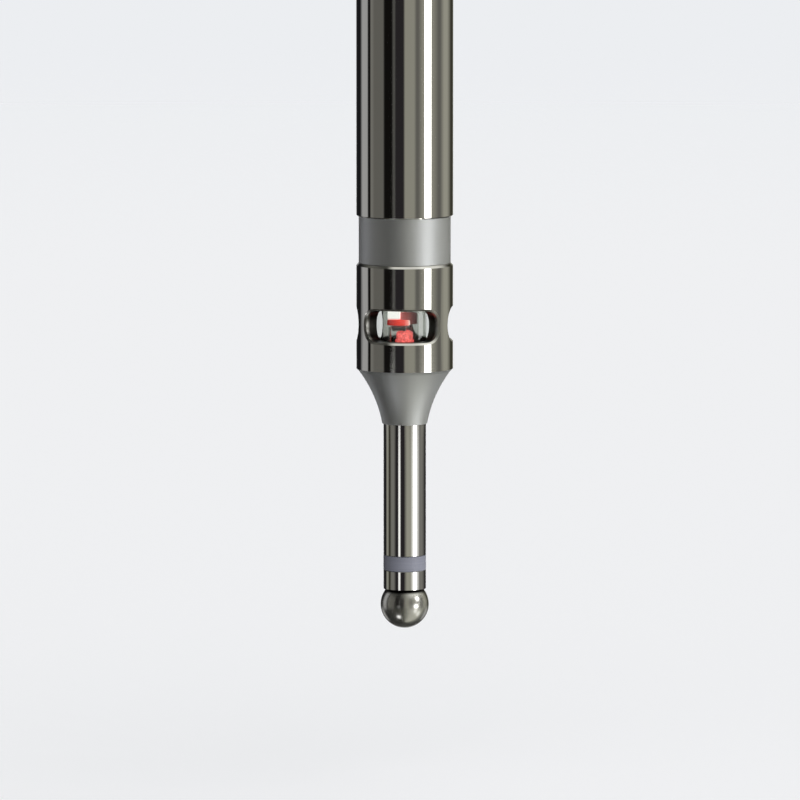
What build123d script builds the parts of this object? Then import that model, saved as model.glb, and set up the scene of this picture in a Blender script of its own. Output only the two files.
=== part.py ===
from build123d import *
import math
import os

# Photoelectric edge finder, modelled in its own frame in millimetres.
# The tool's axis is Z, with the shank up and the ball down. Z = 0 is the gauge plane, where the
# spindle's holder ends on the shank. One of the three windows faces -Y.

# Shank and the satin neck below it
shank_d = 20.0
shank_above_gauge = 61.0
shank_below_gauge = 13.4
shank_end_chamfer = 1.0
shoulder_chamfer = 0.25
centre_mouth_d = 5.0
centre_angle = 60.0
centre_pilot_d = 2.0
centre_pilot_depth = 6.0
neck_d = 19.0
neck_length = 9.6

# Screw joint between neck and housing, which opens to change the battery
thread_d = 16.0
spigot_length = 7.5
spigot_chamfer = 0.6
relief_width = 1.2
relief_depth = 0.7
running_clearance = 0.05
seat_gap = 0.02

# Seal ring in a counterbore of the housing, under the neck
seal_section_d = 0.8

# Housing: polished body with three windows, flush with the shank, and the flared nose
body_d = shank_d
body_length = 22.0
body_top_chamfer = 0.6
body_foot_chamfer = 0.55
nose_length = 11.5
nose_end_d = 9.3
nose_hollow = 0.68
window_count = 3
window_height = 6.6
window_half_angle = 50.5
window_from_joint = 12.65
window_chamfer = 0.4
window_cut_from = 2.0
window_cut_past = 1.0
thread_bore_length = 8.8

# Clear tube behind the windows
tube_d = 14.0
tube_bore_d = 9.0
tube_length = 9.4
tube_chamfer = 0.2

# Battery and the spring behind it
battery_d = 10.3
battery_length = 28.5
battery_button_d = 5.0
battery_button_height = 0.8
battery_edge_r = 0.5
battery_rim_width = 1.1
battery_rim_depth = 0.25
battery_bore_d = 10.9
battery_spring_d = 7.6
battery_spring_wire_d = 0.6
battery_spring_turns = 4
battery_spring_length = 5.8

# Lamp unit inside the clear tube
upper_board_d = tube_d - 0.4
upper_board_thickness = 1.2
contact_head_d = 4.4
contact_head_height = 0.8
contact_pin_d = 1.6
contact_cone_d = 3.6
contact_cone_drop = 2.6
contact_cone_height = 1.5
contact_tip_d = 0.8
lower_board_thickness = 1.0
led_d = 3.4
led_flange_d = 3.9
led_flange_height = 0.8
led_height = 2.9
led_dome_height = 0.6
led_stand_off = 0.3
led_lead_d = 0.5
led_lead_pitch = 2.54
resistor_d = 1.3
resistor_cap_d = 1.5
resistor_cap_length = 0.6
resistor_length = 2.7
resistor_x = -0.9
resistor_y = -2.1
resistor_drop = 4.6
resistor_lead_d = 0.45
resistor_lead_reach = 0.45
lead_bend_r = 0.35
lead_hole_clearance = 0.05
lower_contact_pin_d = 1.2
lower_contact_head_d = 1.6
lower_contact_head_height = 0.25
lower_button_d = 3.8
lower_button_height = 1.0

# Stem, the insulating sleeve inside it, and the sleeve that seats the ball
stem_d = 8.8
stem_length = 27.5
stem_root_d = 8.0
stem_root_length = 8.0
stem_edge_chamfer = 0.15
sleeve_d = 6.4
sleeve_bore_d = 5.0
sleeve_upper_bore_d = 5.6
collar_length = 3.0
seat_sleeve_length = 4.1
sleeve_engagement = 2.5
seat_rim_d = 7.8
seat_cone_height = 0.8
seat_edge_chamfer = 0.15

# Ball and its eye stud
ball_d = 10.0
ball_seat_clearance = 0.03
eye_stud_d = 1.6
eye_stud_depth = 3.0
eye_hole_cut_past = 1.0
eye_ring_d = 1.9
eye_wire_d = 0.7
eye_ring_above_ball = 1.85

# Swivel pin that anchors the tension spring
bush_length = 3.6
bush_below_stem_top = 3.9
anchor_pin_d = 2.0
anchor_head_d = 4.4
anchor_head_height = 1.0
anchor_pin_below_bush = 1.6
anchor_ring_d = 2.3
anchor_wire_d = 0.8

# Springs below the lamp
led_spring_d = 3.8
led_spring_wire_d = 0.4
led_spring_turns = 5
tension_spring_d = 4.0
tension_wire_d = 0.6
tension_turns = 12
hook_d = 2.2
hook_to_coil = 1.45

# Spring wire is drawn with this many flats
wire_sides = 8

# Levels along Z, from the gauge plane down
shoulder_z = -shank_below_gauge
joint_z = shoulder_z - neck_length
spigot_end_z = joint_z - spigot_length
window_z = joint_z - window_from_joint
body_foot_z = joint_z - body_length
nose_end_z = body_foot_z - nose_length
upper_board_top_z = spigot_end_z - seat_gap
tube_top_z = upper_board_top_z - upper_board_thickness
tube_foot_z = tube_top_z - tube_length
stem_foot_z = nose_end_z - stem_length
collar_foot_z = stem_foot_z - collar_length
seat_rim_z = collar_foot_z - seat_sleeve_length

# Radii that mate
thread_r = thread_d / 2
spigot_r = thread_r - running_clearance
bore_r = tube_d / 2 + seat_gap
sleeve_hole_r = sleeve_d / 2 + seat_gap
seal_groove_r = thread_r + seal_section_d + seat_gap
seal_groove_depth = seal_section_d + 2 * seat_gap

# The ball rests against the seat's rim, a hair clear of it
seat_reach = ball_d / 2 + ball_seat_clearance
ball_z = seat_rim_z - math.sqrt(seat_reach**2 - (seat_rim_d / 2) ** 2)
ball_top_z = ball_z + ball_d / 2

os.makedirs("parts", exist_ok=True)


def finish_piece(piece, name):
    """Label a finished piece and write it to its own file."""
    piece.part.label = name
    export_step(piece.part, f"parts/{name}.step")


def coil(outer_d, wire_d, turns, low_z, high_z):
    """A helical coil about Z whose wire lies between two levels."""
    height = high_z - low_z - wire_d
    mean_r = (outer_d - wire_d) / 2
    with BuildPart() as wound:
        with BuildLine() as path:
            Helix(height / turns, height, mean_r, center=(0, 0, low_z + wire_d / 2))
        with BuildSketch(Plane(origin=path.line @ 0, z_dir=path.line % 0)):
            RegularPolygon(wire_d / 2, wire_sides)
        sweep(path=path.line, is_frenet=True)
    return wound.part


def bent_wire(path, wire_d):
    """A wire of round section along a path."""
    with BuildPart() as wire:
        with BuildSketch(Plane(origin=path @ 0, z_dir=path % 0)):
            Circle(wire_d / 2)
        sweep(path=path)
    return wire.part


# Shank, neck and spigot are turned as one piece. The spigot's thread is drawn at its outer diameter.
shank_top_z = shank_above_gauge
battery_foot_z = upper_board_top_z + contact_head_height + seat_gap
battery_top_z = battery_foot_z + battery_length
battery_bore_top_z = battery_top_z + battery_spring_length

with BuildPart() as shank:
    with BuildSketch(Plane.XZ):
        with BuildLine():
            Polyline(
                (0, spigot_end_z),
                (spigot_r, spigot_end_z),
                (spigot_r, joint_z),
                (neck_d / 2, joint_z),
                (neck_d / 2, shoulder_z),
                (shank_d / 2, shoulder_z),
                (shank_d / 2, shank_top_z),
                (0, shank_top_z),
                close=True,
            )
        make_face()
    revolve(axis=Axis.Z)
    rims = shank.edges().filter_by(GeomType.CIRCLE)
    chamfer(rims.filter_by_position(Axis.Z, shank_top_z, shank_top_z), shank_end_chamfer)
    shoulder_rim = rims.filter_by_position(Axis.Z, shoulder_z, shoulder_z).sort_by(SortBy.RADIUS)[-1]
    chamfer(shoulder_rim, shoulder_chamfer)
    chamfer(rims.filter_by_position(Axis.Z, spigot_end_z, spigot_end_z), spigot_chamfer)
    # thread relief at the spigot's root
    with BuildSketch(Plane.XY.offset(joint_z)):
        Circle(spigot_r)
        Circle(spigot_r - relief_depth, mode=Mode.SUBTRACT)
    extrude(amount=-relief_width, mode=Mode.SUBTRACT)
    # battery bore
    with BuildSketch(Plane.XY.offset(spigot_end_z)):
        Circle(battery_bore_d / 2)
    extrude(amount=battery_bore_top_z - spigot_end_z, mode=Mode.SUBTRACT)
    # centre hole in the upper end
    centre_mouth_depth = (centre_mouth_d - centre_pilot_d) / 2 / math.tan(math.radians(centre_angle / 2))
    with Locations((0, 0, shank_top_z)):
        Cylinder(
            centre_pilot_d / 2,
            centre_pilot_depth,
            align=(Align.CENTER, Align.CENTER, Align.MAX),
            mode=Mode.SUBTRACT,
        )
        Cone(
            centre_pilot_d / 2,
            centre_mouth_d / 2,
            centre_mouth_depth,
            align=(Align.CENTER, Align.CENTER, Align.MAX),
            mode=Mode.SUBTRACT,
        )
finish_piece(shank, "shank")

# Seal ring, round in section
with BuildPart() as joint_seal:
    with BuildSketch(Plane.XZ):
        with Locations((thread_r + seal_section_d / 2, joint_z - seal_groove_depth / 2)):
            Circle(seal_section_d / 2)
    revolve(axis=Axis.Z)
finish_piece(joint_seal, "joint_seal")

# Housing. Its nose is a hollow curve from the chamfered foot of the body down to the stem.
body_r = body_d / 2
with BuildPart() as housing:
    with BuildSketch(Plane.XZ):
        with BuildLine():
            Polyline(
                (0, nose_end_z),
                (0, joint_z),
                (body_r - body_top_chamfer, joint_z),
                (body_r, joint_z - body_top_chamfer),
                (body_r, body_foot_z),
                (body_r - body_foot_chamfer, body_foot_z - body_foot_chamfer),
            )
            SagittaArc(
                (body_r - body_foot_chamfer, body_foot_z - body_foot_chamfer),
                (nose_end_d / 2, nose_end_z),
                -nose_hollow,
            )
            Line((nose_end_d / 2, nose_end_z), (0, nose_end_z))
        make_face()
    revolve(axis=Axis.Z)
    # windows: slots with round ends, whose end walls point at the axis
    end_angle = math.degrees(math.asin(window_height / 2 / body_r))
    flat_spread = math.tan(math.radians(window_half_angle - end_angle))
    end_spread = math.tan(math.radians(window_half_angle)) - flat_spread
    half_turn = 180
    for index in range(window_count):
        outward = Vector(0, -1, 0).rotate(Axis.Z, index * 360 / window_count)
        window_plane = Plane(origin=(0, 0, window_z), x_dir=outward.cross(Vector(0, 0, -1)), z_dir=outward)
        for reach in (window_cut_from, body_r + window_cut_past):
            flat_x = reach * flat_spread
            end_x = reach * end_spread
            with BuildSketch(window_plane.offset(reach)):
                with BuildLine():
                    Line((-flat_x, window_height / 2), (flat_x, window_height / 2))
                    EllipticalCenterArc((flat_x, 0), end_x, window_height / 2, -90, arc_size=half_turn)
                    Line((flat_x, -window_height / 2), (-flat_x, -window_height / 2))
                    EllipticalCenterArc((-flat_x, 0), end_x, window_height / 2, 90, arc_size=half_turn)
                make_face()
        loft(ruled=True, mode=Mode.SUBTRACT)
    # seal counterbore, thread bore, seat of the clear tube, hole for the insulating sleeve
    for radius, top, depth in (
        (seal_groove_r, joint_z, seal_groove_depth),
        (thread_r, joint_z, thread_bore_length),
        (bore_r, joint_z, joint_z - tube_foot_z),
        (sleeve_hole_r, joint_z, joint_z - nose_end_z),
    ):
        with BuildSketch(Plane.XY.offset(top)):
            Circle(radius)
        extrude(amount=-depth, mode=Mode.SUBTRACT)
    # socket for the stem's root
    with BuildSketch(Plane.XY.offset(nose_end_z)):
        Circle(stem_root_d / 2)
    extrude(amount=stem_root_length, mode=Mode.SUBTRACT)
    # broken edges round the windows, on the outside
    outer_wall = housing.faces().filter_by(GeomType.CYLINDER).sort_by(SortBy.AREA)[-1]
    window_rims = outer_wall.edges().filter_by_position(
        Axis.Z, window_z - window_height / 2, window_z + window_height / 2
    )
    chamfer(window_rims, window_chamfer)
finish_piece(housing, "housing")

# Clear tube
with BuildPart() as window_tube:
    with BuildSketch(Plane.XY.offset(tube_foot_z)):
        Circle(tube_d / 2)
        Circle(tube_bore_d / 2, mode=Mode.SUBTRACT)
    extrude(amount=tube_length)
    chamfer(window_tube.edges().filter_by(GeomType.CIRCLE).group_by(SortBy.RADIUS)[-1], tube_chamfer)
finish_piece(window_tube, "window_tube")

# Battery: a crimped can with its button down
with BuildPart() as battery:
    with BuildSketch(Plane.XY.offset(battery_foot_z + battery_button_height)):
        Circle(battery_d / 2)
    extrude(amount=battery_length - battery_button_height)
    fillet(battery.edges().filter_by(GeomType.CIRCLE), battery_edge_r)
    with BuildSketch(Plane.XY.offset(battery_top_z)):
        Circle(battery_d / 2 - battery_rim_width)
    extrude(amount=-battery_rim_depth, mode=Mode.SUBTRACT)
    with BuildSketch(Plane.XY.offset(battery_foot_z)):
        Circle(battery_button_d / 2)
    extrude(amount=battery_button_height)
finish_piece(battery, "battery")

# Spring behind the battery
with BuildPart() as battery_contact_spring:
    add(
        coil(
            battery_spring_d,
            battery_spring_wire_d,
            battery_spring_turns,
            battery_top_z - battery_rim_depth + seat_gap,
            battery_bore_top_z - seat_gap,
        )
    )
finish_piece(battery_contact_spring, "battery_contact_spring")

# Upper board: it lies on the clear tube and carries the battery's contact
lower_board_top_z = tube_foot_z + lower_board_thickness
led_foot_z = lower_board_top_z + led_stand_off
resistor_z = tube_top_z - resistor_drop
lead_hole_r = resistor_lead_d / 2 + lead_hole_clearance
low_lead_x = resistor_x - resistor_length / 2 - resistor_lead_reach
high_lead_x = resistor_x + resistor_length / 2 + resistor_lead_reach

with BuildPart() as upper_board:
    with BuildSketch(Plane.XY.offset(tube_top_z)):
        Circle(upper_board_d / 2)
        Circle(contact_pin_d / 2, mode=Mode.SUBTRACT)
        with Locations((high_lead_x, resistor_y)):
            Circle(lead_hole_r, mode=Mode.SUBTRACT)
    extrude(amount=upper_board_thickness)
finish_piece(upper_board, "upper_board")

# Battery contact: a rivet whose lower end is a bright cone over the lamp
with BuildPart() as contact_button:
    with BuildSketch(Plane.XZ):
        with BuildLine():
            Polyline(
                (0, upper_board_top_z + contact_head_height),
                (contact_head_d / 2, upper_board_top_z + contact_head_height),
                (contact_head_d / 2, upper_board_top_z),
                (contact_pin_d / 2, upper_board_top_z),
                (contact_pin_d / 2, tube_top_z - contact_cone_drop),
                (contact_cone_d / 2, tube_top_z - contact_cone_drop),
                (contact_tip_d / 2, tube_top_z - contact_cone_drop - contact_cone_height),
                (0, tube_top_z - contact_cone_drop - contact_cone_height),
                close=True,
            )
        make_face()
    revolve(axis=Axis.Z)
finish_piece(contact_button, "contact_button")

# Lower board: it lies on the housing's floor inside the clear tube
with BuildPart() as lower_board:
    with BuildSketch(Plane.XY.offset(tube_foot_z)):
        Circle(tube_bore_d / 2 - seat_gap)
        Circle(lower_contact_pin_d / 2, mode=Mode.SUBTRACT)
        with GridLocations(led_lead_pitch, 0, 2, 1):
            Circle(led_lead_d / 2 + lead_hole_clearance, mode=Mode.SUBTRACT)
        with Locations((low_lead_x, resistor_y)):
            Circle(lead_hole_r, mode=Mode.SUBTRACT)
    extrude(amount=lower_board_thickness)
finish_piece(lower_board, "lower_board")

# Lamp: a low domed lens on a flange
led_top_z = led_foot_z + led_height
with BuildPart() as led:
    with BuildSketch(Plane.XZ):
        with BuildLine():
            Polyline(
                (0, led_top_z),
                (0, led_foot_z),
                (led_flange_d / 2, led_foot_z),
                (led_flange_d / 2, led_foot_z + led_flange_height),
                (led_d / 2, led_foot_z + led_flange_height),
                (led_d / 2, led_top_z - led_dome_height),
            )
            TangentArc((0, led_top_z), (led_d / 2, led_top_z - led_dome_height), tangent=(1, 0))
        make_face()
    revolve(axis=Axis.Z)
finish_piece(led, "led")

with BuildPart() as led_leads:
    with BuildSketch(Plane.XY.offset(tube_foot_z + seat_gap)):
        with GridLocations(led_lead_pitch, 0, 2, 1):
            Circle(led_lead_d / 2)
    extrude(amount=led_foot_z - tube_foot_z - seat_gap)
finish_piece(led_leads, "led_leads")

# Resistor, across the front of the lamp, with its end caps
with BuildPart() as resistor:
    with BuildSketch(Plane.YZ.offset(resistor_x)):
        with Locations((resistor_y, resistor_z)):
            Circle(resistor_d / 2)
    extrude(amount=resistor_length / 2, both=True)
    for side in (-1, 1):
        cap_x = resistor_x + side * resistor_length / 2
        with BuildSketch(Plane.YZ.offset(cap_x)):
            with Locations((resistor_y, resistor_z)):
                Circle(resistor_cap_d / 2)
        extrude(amount=-side * resistor_cap_length)
        cap_face = resistor.faces().sort_by(Axis.X)[0 if side < 0 else -1]
        fillet(cap_face.edges(), resistor_cap_d / 2 - resistor_lead_d / 2 - 0.2)
finish_piece(resistor, "resistor")

# Its leads: the left one runs down into the lower board, the right one up into the upper board
resistor_lead_runs = (
    (resistor_x - resistor_length / 2, low_lead_x, tube_foot_z + seat_gap),
    (resistor_x + resistor_length / 2, high_lead_x, upper_board_top_z - seat_gap),
)
with BuildPart() as resistor_leads:
    for body_end_x, lead_x, end_z in resistor_lead_runs:
        with BuildLine(mode=Mode.PRIVATE) as lead_path:
            FilletPolyline(
                (body_end_x, resistor_y, resistor_z),
                (lead_x, resistor_y, resistor_z),
                (lead_x, resistor_y, end_z),
                radius=lead_bend_r,
            )
        add(bent_wire(lead_path.line, resistor_lead_d))
finish_piece(resistor_leads, "resistor_leads")

# Lower contact: a rivet through the lower board with a button under it
with BuildPart() as lower_contact:
    with BuildSketch(Plane.XZ):
        with BuildLine():
            Polyline(
                (0, lower_board_top_z + lower_contact_head_height),
                (lower_contact_head_d / 2, lower_board_top_z + lower_contact_head_height),
                (lower_contact_head_d / 2, lower_board_top_z),
                (lower_contact_pin_d / 2, lower_board_top_z),
                (lower_contact_pin_d / 2, tube_foot_z),
                (lower_button_d / 2, tube_foot_z),
                (lower_button_d / 2, tube_foot_z - lower_button_height),
                (0, tube_foot_z - lower_button_height),
                close=True,
            )
        make_face()
    revolve(axis=Axis.Z)
finish_piece(lower_contact, "lower_contact")

# Stem: a tube whose root is pressed into the housing's nose
with BuildPart() as stem:
    with BuildSketch(Plane.XY.offset(stem_foot_z)):
        Circle(stem_d / 2)
    extrude(amount=stem_length)
    foot_rim = stem.edges().filter_by(GeomType.CIRCLE).group_by(Axis.Z)[0]
    chamfer(foot_rim, stem_edge_chamfer)
    with BuildSketch(Plane.XY.offset(nose_end_z)):
        Circle(stem_root_d / 2)
    extrude(amount=stem_root_length)
    with BuildSketch(Plane.XY.offset(stem_foot_z)):
        Circle(sleeve_hole_r)
    extrude(amount=stem_length + stem_root_length, mode=Mode.SUBTRACT)
finish_piece(stem, "stem")

# Insulating sleeve: a long tube with a collar that parts the stem from the seat sleeve
bush_top_z = nose_end_z + stem_root_length - bush_below_stem_top
bush_foot_z = bush_top_z - bush_length
sleeve_foot_z = collar_foot_z - sleeve_engagement
with BuildPart() as insulating_sleeve:
    with BuildSketch(Plane.XY.offset(sleeve_foot_z)):
        Circle(sleeve_d / 2)
    extrude(amount=tube_foot_z - sleeve_foot_z)
    with BuildSketch(Plane.XY.offset(collar_foot_z)):
        Circle(stem_d / 2)
    extrude(amount=collar_length)
    with BuildSketch(Plane.XY.offset(sleeve_foot_z)):
        Circle(sleeve_bore_d / 2)
    extrude(amount=tube_foot_z - sleeve_foot_z, mode=Mode.SUBTRACT)
    with BuildSketch(Plane.XY.offset(tube_foot_z)):
        Circle(sleeve_upper_bore_d / 2)
    extrude(amount=-(tube_foot_z - bush_foot_z), mode=Mode.SUBTRACT)
finish_piece(insulating_sleeve, "insulating_sleeve")

# Seat sleeve: its mouth is a cone, and the ball rests against the cone's rim
with BuildPart() as seat_sleeve:
    with BuildSketch(Plane.XY.offset(seat_rim_z)):
        Circle(stem_d / 2)
    extrude(amount=seat_sleeve_length)
    with BuildSketch(Plane.XY.offset(seat_rim_z)):
        Circle(sleeve_hole_r)
    extrude(amount=seat_sleeve_length, mode=Mode.SUBTRACT)
    with Locations((0, 0, seat_rim_z)):
        Cone(
            seat_rim_d / 2,
            sleeve_hole_r,
            seat_cone_height,
            align=(Align.CENTER, Align.CENTER, Align.MIN),
            mode=Mode.SUBTRACT,
        )
    outer_rims = seat_sleeve.edges().filter_by(GeomType.CIRCLE).group_by(SortBy.RADIUS)[-1]
    chamfer(outer_rims, seat_edge_chamfer)
finish_piece(seat_sleeve, "seat_sleeve")

# Ball, drilled for its eye stud
with BuildPart() as ball:
    with Locations((0, 0, ball_z)):
        Sphere(ball_d / 2)
    with BuildSketch(Plane.XY.offset(ball_top_z - eye_stud_depth)):
        Circle(eye_stud_d / 2)
    extrude(amount=eye_stud_depth + eye_hole_cut_past, mode=Mode.SUBTRACT)
finish_piece(ball, "ball")

# Eye stud: its ring stands in the YZ plane, so that it clears the sleeve when the ball tips along X
eye_z = ball_top_z + eye_ring_above_ball
with BuildPart() as ball_eye:
    with BuildSketch(Plane.XY.offset(ball_top_z - eye_stud_depth)):
        Circle(eye_stud_d / 2)
    extrude(amount=eye_z - eye_ring_d / 2 - ball_top_z + eye_stud_depth)
    with Locations(Location((0, 0, eye_z), (0, 90, 0))):
        Torus(eye_ring_d / 2, eye_wire_d / 2)
finish_piece(ball_eye, "ball_eye")

# Bush for the swivel pin, on the step in the insulating sleeve's bore
with BuildPart() as anchor_bush:
    with BuildSketch(Plane.XY.offset(bush_foot_z)):
        Circle(sleeve_upper_bore_d / 2 - seat_gap)
        Circle(anchor_pin_d / 2 + running_clearance, mode=Mode.SUBTRACT)
    extrude(amount=bush_length)
finish_piece(anchor_bush, "anchor_bush")

# Swivel pin: a headed pin that ends in an eye in the XZ plane
anchor_head_z = bush_top_z + running_clearance
anchor_pin_foot_z = bush_foot_z - anchor_pin_below_bush
anchor_eye_z = anchor_pin_foot_z - anchor_ring_d / 2
with BuildPart() as spring_anchor:
    with BuildSketch(Plane.XY.offset(anchor_head_z)):
        Circle(anchor_head_d / 2)
    extrude(amount=anchor_head_height)
    with BuildSketch(Plane.XY.offset(anchor_pin_foot_z)):
        Circle(anchor_pin_d / 2)
    extrude(amount=anchor_head_z - anchor_pin_foot_z)
    with Locations(Location((0, 0, anchor_eye_z), (90, 0, 0))):
        Torus(anchor_ring_d / 2, anchor_wire_d / 2)
finish_piece(spring_anchor, "spring_anchor")

# Contact spring between the lamp unit and the swivel pin's head
with BuildPart() as led_contact_spring:
    add(
        coil(
            led_spring_d,
            led_spring_wire_d,
            led_spring_turns,
            anchor_head_z + anchor_head_height + seat_gap,
            tube_foot_z - lower_button_height - seat_gap,
        )
    )
finish_piece(led_contact_spring, "led_contact_spring")

# Tension spring. Each hook lies over the wire of the eye that it pulls on.
hook_r = hook_d / 2
upper_eye_wire_top = anchor_eye_z - anchor_ring_d / 2 + anchor_wire_d / 2
upper_hook_z = upper_eye_wire_top + seat_gap + tension_wire_d / 2 - hook_r
lower_eye_wire_foot = eye_z + eye_ring_d / 2 - eye_wire_d / 2
lower_hook_z = lower_eye_wire_foot - seat_gap - tension_wire_d / 2 + hook_r
coil_top_z = upper_hook_z - hook_to_coil
coil_foot_z = lower_hook_z + hook_to_coil
tension_mean_r = (tension_spring_d - tension_wire_d) / 2
tension_rise = (coil_top_z - coil_foot_z) / tension_turns / (2 * math.pi * tension_mean_r)

with BuildPart() as tension_spring:
    add(
        coil(
            tension_spring_d,
            tension_wire_d,
            tension_turns,
            coil_foot_z - tension_wire_d / 2,
            coil_top_z + tension_wire_d / 2,
        )
    )
    with BuildLine(mode=Mode.PRIVATE) as upper_hook:
        Spline(
            (tension_mean_r, 0, coil_top_z),
            (0, hook_r, upper_hook_z),
            tangents=[(0, 1, tension_rise), (0, 0, 1)],
        )
        ThreePointArc(
            (0, hook_r, upper_hook_z),
            (0, 0, upper_hook_z + hook_r),
            (0, -hook_r, upper_hook_z),
        )
    add(bent_wire(upper_hook.line, tension_wire_d))
    with BuildLine(mode=Mode.PRIVATE) as lower_hook:
        Spline(
            (tension_mean_r, 0, coil_foot_z),
            (0, -(tension_mean_r + hook_r) / 2, (coil_foot_z + lower_hook_z) / 2),
            (-hook_r, 0, lower_hook_z),
            tangents=[(0, -1, -tension_rise), (0, 0, -1)],
        )
        ThreePointArc(
            (-hook_r, 0, lower_hook_z),
            (0, 0, lower_hook_z - hook_r),
            (hook_r, 0, lower_hook_z),
        )
    add(bent_wire(lower_hook.line, tension_wire_d))
finish_piece(tension_spring, "tension_spring")
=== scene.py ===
# %% [markdown]
# A photoelectric edge finder is a steel probe for a milling spindle. Its ball touches the work, a
# lamp behind three windows lights up, and the operator knows where the edge is. The CAD model is
# the frame of this scene: every piece sits where the CAD puts it, in metres, and this script
# dresses it in the finishes that a toolmaker would see.

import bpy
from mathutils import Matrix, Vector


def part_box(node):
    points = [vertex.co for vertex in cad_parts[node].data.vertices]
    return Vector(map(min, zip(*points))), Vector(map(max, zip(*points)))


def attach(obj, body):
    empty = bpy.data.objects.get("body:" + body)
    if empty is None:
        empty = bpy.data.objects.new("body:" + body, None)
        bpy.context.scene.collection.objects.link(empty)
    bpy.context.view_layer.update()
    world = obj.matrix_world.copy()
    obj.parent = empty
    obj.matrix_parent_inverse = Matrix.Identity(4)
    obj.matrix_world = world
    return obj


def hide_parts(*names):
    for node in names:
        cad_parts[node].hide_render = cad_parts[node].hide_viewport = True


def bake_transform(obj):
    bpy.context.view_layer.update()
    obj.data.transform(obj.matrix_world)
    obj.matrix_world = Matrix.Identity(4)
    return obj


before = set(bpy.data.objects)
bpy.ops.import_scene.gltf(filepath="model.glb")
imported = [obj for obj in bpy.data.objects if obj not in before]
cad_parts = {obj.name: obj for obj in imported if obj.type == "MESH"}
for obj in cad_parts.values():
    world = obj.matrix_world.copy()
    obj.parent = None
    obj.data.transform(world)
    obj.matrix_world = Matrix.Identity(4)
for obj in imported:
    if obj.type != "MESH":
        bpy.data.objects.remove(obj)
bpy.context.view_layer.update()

# %% [markdown]
# The sizes below are millimetres, as on a drawing, and one factor turns them into metres. Levels
# run down the tool's axis from the gauge plane, where the spindle's holder ends on the shank.

# %% Sizes and levels
import math

import bmesh
import bpy
from mathutils import Vector

MM = 0.001
shank_r = 10.0
shank_top_z = 61.0
shoulder_z = -13.4
neck_r = 9.5
joint_z = -23.0
spigot_end_z = -30.5
body_foot_z = -45.0
milled_foot_z = -40.6
seat_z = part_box("seat_sleeve")[0].z / MM
ball_z = (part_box("ball")[0].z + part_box("ball")[1].z) / 2 / MM
print("ball centre at", round(ball_z, 3), "mm")

# %% [markdown]
# A colour is written as a hex value, as a colour picker gives it. Blender's shaders work in linear
# light, so one function turns each hex value into linear numbers. A second small function adds a
# node to a tree, with its settings, its fixed inputs and its links, and serves every node here.


# %% Colour and node helpers
def linear(hex_colour, strength=1.0):
    """A hex colour as linear RGBA, times a strength."""
    channels = [int(hex_colour[i : i + 2], 16) / 255 for i in (1, 3, 5)]
    curve = [c / 12.92 if c <= 0.04045 else ((c + 0.055) / 1.055) ** 2.4 for c in channels]
    return (*[c * strength for c in curve], 1.0)


def add_node(tree, kind, inputs=None, links=None, stops=None, **settings):
    """Adds a node with its settings, its sockets' fixed values, its links and its ramp's stops."""
    made = tree.nodes.new(kind)
    for name, value in settings.items():
        setattr(made, name, value)
    for socket, value in (inputs or {}).items():
        made.inputs[socket].default_value = value
    for socket, source in (links or {}).items():
        tree.links.new(source, made.inputs[socket])
    if stops:
        elements = made.color_ramp.elements
        while len(elements) < len(stops):
            elements.new(0.5)
        for element, (place, colour) in zip(elements, stops):
            element.position = place
            element.color = colour
    return made


print("mid grey in linear light", [round(c, 3) for c in linear("#808080")[:3]])

# %% [markdown]
# A long lens far away shows a tool almost as a drawing does, with its sides parallel. The camera
# looks slightly down, and a little from the right of the window. It is aimed at the middle of what
# shows, so the upper end of the shank stays out of the picture.

# %% Camera
camera_azimuth = math.radians(5.0)
camera_elevation = math.radians(6.5)
shown_width = 165.6 * MM
camera_data = bpy.data.cameras.new("long_lens")
camera_data.lens = 324.0
camera_data.sensor_width = 36.0
camera_distance = shown_width * camera_data.lens / camera_data.sensor_width
camera = bpy.data.objects.new("long_lens", camera_data)
bpy.context.scene.collection.objects.link(camera)
bpy.context.scene.camera = camera

right = Vector((math.cos(camera_azimuth), math.sin(camera_azimuth), 0))
towards_camera = Vector(
    (
        math.sin(camera_azimuth) * math.cos(camera_elevation),
        -math.cos(camera_azimuth) * math.cos(camera_elevation),
        math.sin(camera_elevation),
    )
)
target = Vector((0, 0, -51.7 * MM)) - right * 0.97 * MM
camera.location = target + towards_camera * camera_distance
camera.rotation_mode = "QUATERNION"
camera.rotation_quaternion = (-towards_camera).to_track_quat("-Z", "Y")
camera_data.clip_start = 0.01
camera_data.clip_end = 20.0
bpy.context.scene.view_settings.view_transform = "Standard"
print("camera distance", round(camera_distance, 3), "m")

# %% [markdown]
# Polished steel has hardly any look of its own: it shows what stands round it. A photographer
# builds that look with strip boxes and black flags, which a cylinder squeezes into upright bands.
# Here the world does it. The angle round the tool's axis picks a band's colour, as it should look
# on steel, and the world is brighter than that by what steel swallows.

# %% Studio bands that the steel mirrors
studio = bpy.data.worlds.new("strip_box_studio")
bpy.context.scene.world = studio
studio.use_nodes = True
world = studio.node_tree
world.nodes.clear()

direction = add_node(world, "ShaderNodeTexCoord").outputs["Generated"]
from_camera = add_node(
    world,
    "ShaderNodeVectorRotate",
    rotation_type="Z_AXIS",
    inputs={"Angle": -camera_azimuth},
    links={"Vector": direction},
)
split = add_node(world, "ShaderNodeSeparateXYZ", links={"Vector": from_camera.outputs["Vector"]})
facing = add_node(
    world,
    "ShaderNodeMath",
    operation="MULTIPLY",
    inputs={1: -1.0},
    links={0: split.outputs["Y"]},
)
bearing = add_node(
    world,
    "ShaderNodeMath",
    operation="ARCTAN2",
    links={0: split.outputs["X"], 1: facing.outputs[0]},
)
turn = add_node(
    world,
    "ShaderNodeMapRange",
    inputs={"From Min": -math.pi, "From Max": math.pi},
    links={"Value": bearing.outputs[0]},
)

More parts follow.
